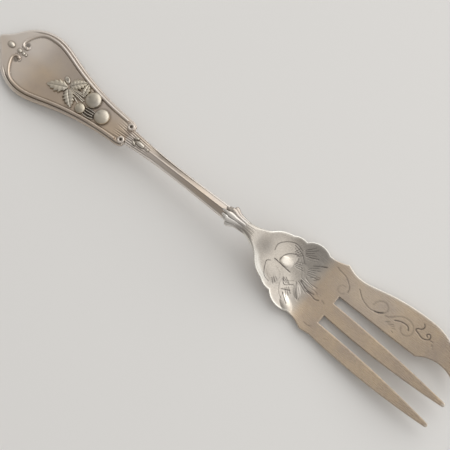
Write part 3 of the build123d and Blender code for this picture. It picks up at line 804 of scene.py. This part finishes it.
def arc(a, b, c, count):
    """Points on the circle through three points."""
    a, b, c = (np.asarray(p, float) for p in (a, b, c))
    d = 2 * (a[0] * (b[1] - c[1]) + b[0] * (c[1] - a[1]) + c[0] * (a[1] - b[1]))
    aa, bb, cc = a @ a, b @ b, c @ c
    centre = np.array(
        [
            (aa * (b[1] - c[1]) + bb * (c[1] - a[1]) + cc * (a[1] - b[1])) / d,
            (aa * (c[0] - b[0]) + bb * (a[0] - c[0]) + cc * (b[0] - a[0])) / d,
        ]
    )
    angles = np.unwrap([np.arctan2(*(p - centre)[::-1]) for p in (a, b, c)])
    reach = np.linalg.norm(a - centre)
    turn = np.linspace(angles[0], angles[2], count)
    return centre + reach * np.stack([np.cos(turn), np.sin(turn)], 1)


def tine_limits():
    """Lower and upper edge of each tine as lines of points, from the outer to the cutting tine."""
    slender = []
    for roots, end, tip, middles in SLENDER_TINES:
        edges = []
        for sign, root, middle in zip((-1, 1), roots, middles):
            turn = (end - TIP_BLUNT, tip + sign * TIP_BLUNT)
            round_ = (end - 0.29 * TIP_BLUNT, tip + sign * 0.71 * TIP_BLUNT)
            run = arc((SLOT_BASE, root), middle, turn, 80)
            edges.append(np.concatenate([run, arc(turn, round_, (end, tip), 12)[1:]]))
        slender.append(tuple(edges))
    cut_low = np.concatenate([[(SLOT_BASE, SLOTS[1][1])], arc(*NOTCH, 60), CUT_TIP])
    back = smooth((SCALLOP_END, *CUT_BACK), 120, (1, -0.4), (1, 0))
    cut_high = np.concatenate([back, arc(CUT_BACK[-1], CUT_CURVE, CUT_TIP[-1], 80)[1:]])
    return *slender, (cut_low, cut_high)


def hatch_lines():
    """Bundles of fine lines, slightly fanned and uneven in length."""
    for bundle in (*HATCHES, FLUTES):
        x, y, turn, length, count, step = bundle
        depth = FLUTE_DEPTH if bundle is FLUTES else HATCH_DEPTH
        for number in range(count):
            angle = radians(turn + 6 * (number - (count - 1) / 2))
            start = (x - number * step * sin(radians(turn)), y + number * step * cos(radians(turn)))
            reach = length * (1 - 0.16 * (number % 3))
            end = (start[0] + reach * cos(angle), start[1] + reach * sin(angle))
            yield (start, end), HATCH_HALF / BOWL_STROKE_SCALE, depth


def make_head():
    """Neck, dished bowl with chased fruit, and three tines, as one sheet."""
    half = head_half()
    tines = tine_limits()
    counts = (40, 22, 52, 26, 120)  # columns of the outer tine, slot, centre tine, slot and cutting tine
    side_end = tines[0][0][0]
    low_side = np.concatenate([half * np.array([1, -1]), [side_end]])
    high_side = np.concatenate([half, tines[2][1]])
    shared = np.array([side_end[1], *SLOTS[0], *SLOTS[1], np.interp(SLOT_BASE, *tines[2][1].T)])

    bowl_x = np.concatenate(
        [
            np.linspace(HEAD_START, 91, 60, endpoint=False),
            np.linspace(91, 107, 200, endpoint=False),
            np.linspace(107, 113, 60, endpoint=False),
            SLOT_BASE - 0.6 * np.linspace(1, 0, 14) ** 1.6,
        ]
    )
    tine_share = np.concatenate(
        [
            0.012 * np.linspace(0, 1, 6)[1:] ** 1.5,
            np.linspace(0.016, 0.75, 260),
            np.linspace(0.75, 0.97, 42)[1:],
            1 - 0.03 * np.linspace(1, 0, 16)[1:] ** 2,
        ]
    )
    columns = []
    for group, count in enumerate(counts):
        even = np.linspace(0, 1, count)
        bent = 0.5 - 0.5 * np.cos(pi * even)
        columns.append(0.45 * even + 0.55 * bent if group in (0, 2, 4) else even)

    low = np.interp(bowl_x, low_side[:, 0], low_side[:, 1])
    high = np.interp(bowl_x, high_side[:, 0], high_side[:, 1])
    fixed = (shared - shared[0]) / (shared[-1] - shared[0])
    bowl_y = []
    for group, even in enumerate(columns):
        share = fixed[group] + (fixed[group + 1] - fixed[group]) * even
        share = share if group == 0 else share[1:]
        bowl_y.append(low[:, None] + (high - low)[:, None] * share)
    bowl_y = np.concatenate(bowl_y, 1)
    bowl_x = np.broadcast_to(bowl_x[:, None], bowl_y.shape)

    widths = [len(columns[0])] + [len(c) - 1 for c in columns[1:]]
    starts = np.concatenate([[0], np.cumsum(widths)])
    tine_x = np.zeros((len(tine_share), starts[-1]))
    tine_y = np.zeros_like(tine_x)
    for tine, group in enumerate((0, 2, 4)):
        first = starts[group] - (0 if group == 0 else 1)
        last = starts[group + 1]
        below, above = tines[tine]
        x = SLOT_BASE + tine_share * (below[-1, 0] - 0.01 - SLOT_BASE)
        bottom = np.interp(x, below[:, 0], below[:, 1])
        top = np.interp(x, above[:, 0], above[:, 1])
        tine_x[:, first:last] = x[:, None]
        tine_y[:, first:last] = bottom[:, None] + (top - bottom)[:, None] * columns[group]
    x = np.concatenate([bowl_x, tine_x])
    y = np.concatenate([bowl_y, tine_y])
    keep = np.ones((x.shape[0] - 1, x.shape[1] - 1), bool)
    for group in (1, 3):
        keep[len(bowl_x) - 1 :, starts[group] - 1 : starts[group + 1]] = False

    # Curved sheet
    curved = np.minimum(x, FLAT_START)
    top = profile(curved, TOP_STATIONS) + TINE_SLOPE * np.maximum(x - FLAT_START, 0)
    dish = profile(curved, DISH_STATIONS)
    span = profile(curved, SPAN_STATIONS)
    thick = profile(x, THICK_STATIONS)
    top = top + dish * (y / span) ** 2
    bottom = top - thick

    # Rounded edges, with a soft neck
    gap = np.minimum(distance(x, y, low_side), distance(x, y, high_side))
    for below, above in tines:
        gap = np.minimum(gap, np.minimum(distance(x, y, below), distance(x, y, above)))
    for a, b in SLOTS:
        gap = np.minimum(gap, distance(x, y, np.array([(SLOT_BASE, a), (SLOT_BASE, b)])))
    radius = 0.22 + 0.75 * (1 - ease(86, 94, x))
    inner = np.clip(radius - gap, 0, None)
    drop = radius - np.sqrt(np.clip(radius**2 - inner**2, 0, None))
    top = top - drop
    bottom = bottom + np.minimum(drop, 0.45 * thick)

    # Raised fruit and chased lines
    for *shape, height in SWELLS:
        u, v = oval(x, y, *shape)
        top = top + height * np.clip(1 - u * u - v * v, 0, None) ** 0.8
    patina_and_shade = np.zeros_like(x)
    for points, width, depth in [*STROKES, *hatch_lines()]:
        line = smooth(points, 40) if len(points) > 2 else np.asarray(points, float)
        (x0, y0), (x1, y1) = line.min(0) - 1, line.max(0) + 1
        rows, cols = np.where((x > x0) & (x < x1) & (y > y0) & (y < y1))
        away = distance(x[rows, cols], y[rows, cols], line)
        reach = width * (STROKE_SCALE if x0 > SCALLOP_END[0] - 4 else BOWL_STROKE_SCALE)
        top[rows, cols] -= STROKE_DEPTH * depth * bump(away, reach)
        patina_and_shade[rows, cols] = np.maximum(patina_and_shade[rows, cols], 1.35 * depth * bump(away, reach))
    top = top + 0.008 * ripple(x, y, 9.0, 21) * ease(0.2, 1.0, gap)

    # Silvery bowl and neck with painted shade on the walls, a painted bright band along the left wall and
    # painted highlights on two spots of the fruit and along the edges; tines darker towards their tips and
    # brighter at the very tips
    bowl = 1 - ease(104.5, 108.5, x)
    rim = bump(gap, 0.4)
    wear_and_highlight = bowl * (0.55 + 0.3 * rim)
    # Painted shade on the bowl's walls and at the dip behind the neck
    wall_shade = 0.4 + 0.13 * ease(2, 6, np.abs(y)) + 0.16 * bump(np.hypot(x - 91.6, y), 1.8)
    # Painted highlight: a bright band along the left wall of the bowl
    glow = bump(gap - 0.9, 0.6) * (1 - ease(-4, -1, y)) * (1 - ease(95, 98, x))
    wall_shade = wall_shade - 0.3 * glow
    patina_and_shade = np.maximum(patina_and_shade, wall_shade * bowl * (1 - rim) + 0.16 * ease(120, 146, x))
    for shape in PAINTED_HIGHLIGHT_SPOTS:
        u, v = oval(x, y, *shape)
        spot = (1 - ease(0.6, 1.15, np.sqrt(u * u + v * v))) * (1 - 0.5 * ease(-0.2, 0.9, u))
        wear_and_highlight = np.maximum(wear_and_highlight, 0.7 * spot)
        patina_and_shade = np.where(patina_and_shade < 0.6, patina_and_shade * (1 - spot), patina_and_shade)
    wear_and_highlight = wear_and_highlight + 0.5 * ease(149.5, 151, x) + 0.1 * bump(gap, 0.3) + 0.35 * bowl * glow
    # Painted highlights on the upper side near the cutting tine's root and along its back edge
    wear_and_highlight = wear_and_highlight + 0.12 * bump((x - 120) / 12, 1.0) * ease(0, 5, y)
    wear_and_highlight = wear_and_highlight + 0.5 * bump(gap, 0.45) * ease(6, 8, y) * ease(108, 112, x)
    points, faces, marks = sheet(x, y, top, bottom, keep, (patina_and_shade, wear_and_highlight))
    piece = solid("head_sheet", on_table(points), faces, "bright_silver", *marks)
    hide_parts("fork_head")
    return piece


# Materials

# Silvers: clean colour, colour of wear and painted highlights, colour of tarnish and painted shade,
# roughness, grain
SILVERS = {
    "satin": ((0.572, 0.472, 0.37), (0.835, 0.778, 0.72), (0.07, 0.058, 0.047), 0.34, 0.3),
    "relief": ((0.535, 0.49, 0.4), (0.88, 0.83, 0.76), (0.06, 0.05, 0.04), 0.36, 0.2),
    "fluted": ((0.6, 0.53, 0.45), (0.9, 0.87, 0.82), (0.05, 0.04, 0.035), 0.22, 0.15),
    "bright": ((0.57, 0.462, 0.345), (0.9, 0.88, 0.82), (0.035, 0.028, 0.03), 0.26, 0.14),
}
COOL_STAIN, WARM_STAIN = (0.86, 0.86, 0.92), (1.08, 1.05, 1.0)


def silver(name, clean, worn_and_lit, tarnish_and_shade_colour, rough, grain):
    """Silver darkened by tarnish and painted shade, brightened by wear and painted highlights, with uneven
    tone and fine scratches.
    """
    material = bpy.data.materials.new(name)
    material.use_nodes = True
    nodes, links = material.node_tree.nodes, material.node_tree.links
    shader = nodes["Principled BSDF"]
    shader.inputs["Metallic"].default_value = 1.0
    place = nodes.new("ShaderNodeTexCoord")

    cloud = nodes.new("ShaderNodeTexNoise")
    cloud.inputs["Scale"].default_value = 160.0
    cloud.inputs["Detail"].default_value = 5.0
    links.new(place.outputs["Object"], cloud.inputs["Vector"])
    tone = nodes.new("ShaderNodeValToRGB")
    tone.color_ramp.elements[0].position = 0.3
    tone.color_ramp.elements[0].color = (*[c * k for c, k in zip(clean, COOL_STAIN)], 1)
    tone.color_ramp.elements[1].position = 0.7
    tone.color_ramp.elements[1].color = (*[c * k for c, k in zip(clean, WARM_STAIN)], 1)
    links.new(cloud.outputs["Fac"], tone.inputs["Fac"])

    # Brighter towards the worn colour where it is worn and where highlights are painted
    shiny = nodes.new("ShaderNodeAttribute")
    shiny.attribute_name = "wear_and_highlight"
    brighter = nodes.new("ShaderNodeMix")
    brighter.data_type = "RGBA"
    links.new(shiny.outputs["Fac"], brighter.inputs["Factor"])
    links.new(tone.outputs["Color"], brighter.inputs["A"])
    brighter.inputs["B"].default_value = (*worn_and_lit, 1)

    # Darker towards the tarnish colour in tarnished hollows and where shade is painted
    mark = nodes.new("ShaderNodeAttribute")
    mark.attribute_name = "patina_and_shade"
    speck = nodes.new("ShaderNodeTexNoise")
    speck.inputs["Scale"].default_value = 1500.0
    speck.inputs["Detail"].default_value = 3.0
    links.new(place.outputs["Object"], speck.inputs["Vector"])
    uneven = nodes.new("ShaderNodeMapRange")
    uneven.inputs["From Min"].default_value = 0.3
    uneven.inputs["From Max"].default_value = 0.7
    uneven.inputs["To Min"].default_value = 0.88
    uneven.inputs["To Max"].default_value = 1.0
    links.new(speck.outputs["Fac"], uneven.inputs["Value"])
    dark = nodes.new("ShaderNodeMath")
    dark.operation = "MULTIPLY"
    links.new(mark.outputs["Fac"], dark.inputs[0])
    links.new(uneven.outputs["Result"], dark.inputs[1])
    mixed = nodes.new("ShaderNodeMix")
    mixed.data_type = "RGBA"
    links.new(dark.outputs["Value"], mixed.inputs["Factor"])
    links.new(brighter.outputs["Result"], mixed.inputs["A"])
    mixed.inputs["B"].default_value = (*tarnish_and_shade_colour, 1)
    links.new(mixed.outputs["Result"], shader.inputs["Base Color"])

    stretch = nodes.new("ShaderNodeMapping")
    stretch.inputs["Rotation"].default_value = (0, 0, 0.5)
    stretch.inputs["Scale"].default_value = (0.06, 1.0, 1.0)
    links.new(place.outputs["Object"], stretch.inputs["Vector"])
    scratch = nodes.new("ShaderNodeTexNoise")
    scratch.inputs["Scale"].default_value = 5200.0
    scratch.inputs["Detail"].default_value = 4.0
    links.new(stretch.outputs["Vector"], scratch.inputs["Vector"])
    shine = nodes.new("ShaderNodeMapRange")
    shine.inputs["From Min"].default_value = 0.3
    shine.inputs["From Max"].default_value = 0.75
    shine.inputs["To Min"].default_value = rough - 0.06
    shine.inputs["To Max"].default_value = rough + 0.1
    links.new(scratch.outputs["Fac"], shine.inputs["Value"])
    links.new(shine.outputs["Result"], shader.inputs["Roughness"])
    relief = nodes.new("ShaderNodeBump")
    relief.inputs["Strength"].default_value = grain
    relief.inputs["Distance"].default_value = 0.00002
    links.new(scratch.outputs["Fac"], relief.inputs["Height"])
    links.new(relief.outputs["Normal"], shader.inputs["Normal"])
    return material


def coat(pieces, material):
    """Gives pieces a material."""
    for piece in pieces:
        piece.data.materials.clear()
        piece.data.materials.append(material)


# These materials carry painted shade and painted highlights in their colour
satin, relief, fluted, bright = (silver(f"{name}_silver_worn", *look) for name, look in SILVERS.items())

coat([make_handle(), *make_rails(), *make_rings()], satin)
coat([*make_leaves(), *make_cherries(), *make_stalks(), *make_beads()], relief)
coat([make_collar()], fluted)
coat([make_head()], bright)


# Studio

CAMERA_PLACE, CAMERA_TARGET = (130.13, -47.48, 349.47), (79.53, -2.04, 4.0)
CAMERA_LENS, CAMERA_ROLL = 110.0, -8.628


def make_floor():
    """Plain pale floor."""
    mesh = bpy.data.meshes.new("floor")
    mesh.from_pydata([(-1.5, -1.5, 0), (1.5, -1.5, 0), (1.5, 1.5, 0), (-1.5, 1.5, 0)], [], [(0, 1, 2, 3)])
    floor = bpy.data.objects.new("floor", mesh)
    bpy.context.scene.collection.objects.link(floor)
    material = bpy.data.materials.new("pale_floor")
    material.use_nodes = True
    nodes, links = material.node_tree.nodes, material.node_tree.links
    noise = nodes.new("ShaderNodeTexNoise")
    noise.inputs["Scale"].default_value = 3.0
    ramp = nodes.new("ShaderNodeValToRGB")
    ramp.color_ramp.elements[0].color = (0.78, 0.77, 0.75, 1)
    ramp.color_ramp.elements[1].color = (0.82, 0.81, 0.79, 1)
    links.new(noise.outputs["Fac"], ramp.inputs["Fac"])
    shader = nodes["Principled BSDF"]
    shader.inputs["Roughness"].default_value = 0.9
    shader.inputs["Specular IOR Level"].default_value = 0.1
    links.new(ramp.outputs["Color"], shader.inputs["Base Color"])
    mesh.materials.append(material)


def make_sky():
    """Soft surround that is brighter on the cutting tine's side."""
    world = bpy.data.worlds.new("studio")
    bpy.context.scene.world = world
    world.use_nodes = True
    nodes, links = world.node_tree.nodes, world.node_tree.links
    place = nodes.new("ShaderNodeTexCoord")
    turn = nodes.new("ShaderNodeMapping")
    turn.vector_type = "POINT"
    turn.inputs["Rotation"].default_value = (0, 0, radians(-70))
    links.new(place.outputs["Generated"], turn.inputs["Vector"])
    split = nodes.new("ShaderNodeSeparateXYZ")
    links.new(turn.outputs["Vector"], split.inputs["Vector"])
    spread = nodes.new("ShaderNodeMapRange")
    spread.inputs["From Min"].default_value = -1.0
    spread.inputs["From Max"].default_value = 1.0
    links.new(split.outputs["X"], spread.inputs["Value"])
    ramp = nodes.new("ShaderNodeValToRGB")
    ramp.color_ramp.elements[0].position = 0.0
    ramp.color_ramp.elements[0].color = (0.3, 0.29, 0.28, 1)
    ramp.color_ramp.elements[1].position = 1.0
    ramp.color_ramp.elements[1].color = (1.0, 0.99, 0.97, 1)
    middle = ramp.color_ramp.elements.new(0.55)
    middle.color = (0.62, 0.61, 0.6, 1)
    links.new(spread.outputs["Result"], ramp.inputs["Fac"])
    background = nodes["Background"]
    links.new(ramp.outputs["Color"], background.inputs["Color"])
    background.inputs["Strength"].default_value = 1.0


def lamp(name, place, target, size, power):
    """Soft rectangular lamp."""
    data = bpy.data.lights.new(name, "AREA")
    data.shape = "RECTANGLE"
    data.size, data.size_y = size
    data.energy = power
    item = bpy.data.objects.new(name, data)
    item.location = place
    item.rotation_euler = (Vector(target) - Vector(place)).to_track_quat("-Z", "Y").to_euler()
    bpy.context.scene.collection.objects.link(item)


def make_camera():
    """Camera above the fork, which lies across the picture."""
    data = bpy.data.cameras.new("camera")
    data.sensor_width = 36.0
    data.lens = CAMERA_LENS
    data.clip_start = 0.01
    camera = bpy.data.objects.new("camera", data)
    place = Vector(on_table([CAMERA_PLACE])[0])
    target = Vector(on_table([CAMERA_TARGET])[0])
    level = (target - place).to_track_quat("-Z", "Y")
    camera.location = place
    camera.rotation_euler = (level @ Quaternion((0, 0, 1), radians(CAMERA_ROLL))).to_euler()
    bpy.context.scene.collection.objects.link(camera)
    bpy.context.scene.camera = camera


make_floor()
make_sky()
lamp("key", (0.12, 0.5, 0.45), (0.02, 0, 0), (0.95, 0.7), 2.1)
lamp("fill", (0.55, 0.05, 0.3), (0.02, 0, 0), (0.4, 0.4), 0.3)
make_camera()
bpy.context.scene.view_settings.view_transform = "Standard"
